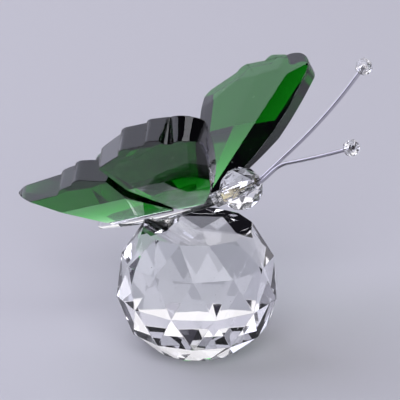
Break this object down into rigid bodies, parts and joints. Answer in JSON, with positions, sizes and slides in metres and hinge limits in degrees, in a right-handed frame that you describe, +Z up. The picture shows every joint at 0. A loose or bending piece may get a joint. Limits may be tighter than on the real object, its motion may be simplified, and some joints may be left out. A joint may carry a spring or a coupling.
{
  "type": "butterfly ornament",
  "caption": "Cut-crystal butterfly with green faceted wings and beaded wire antennae, glued on the flat top of a clear faceted ball that stands on a flat foot.",
  "frame": {"origin": "centre of the ball's flat foot, on the surface it stands on", "axes": "+Z up, +X the way the butterfly heads, +Y its left side"},
  "size_m": [0.0886, 0.0674, 0.0768],
  "materials": {
    "clear_crystal": "polished facets",
    "green_crystal": "polished facets",
    "silver_wire": "satin plated wire",
    "clear_adhesive": "set clear adhesive"
  },
  "bodies": {
    "root": {"crystal_ball": "clear_crystal", "body": "clear_crystal", "head_bead": "clear_crystal", "left_forewing": "green_crystal", "right_forewing": "green_crystal", "left_hindwing": "green_crystal", "right_hindwing": "green_crystal", "left_antenna_wire": "silver_wire", "right_antenna_wire": "silver_wire", "left_antenna_bead": "clear_crystal", "right_antenna_bead": "clear_crystal", "left_antenna_adhesive": "clear_adhesive", "right_antenna_adhesive": "clear_adhesive", "bore_adhesive": "clear_adhesive", "neck_adhesive": "clear_adhesive", "seat_adhesive": "clear_adhesive", "left_forewing_adhesive": "clear_adhesive", "right_forewing_adhesive": "clear_adhesive", "left_hindwing_adhesive": "clear_adhesive", "right_hindwing_adhesive": "clear_adhesive"}
  },
  "joints": []
}
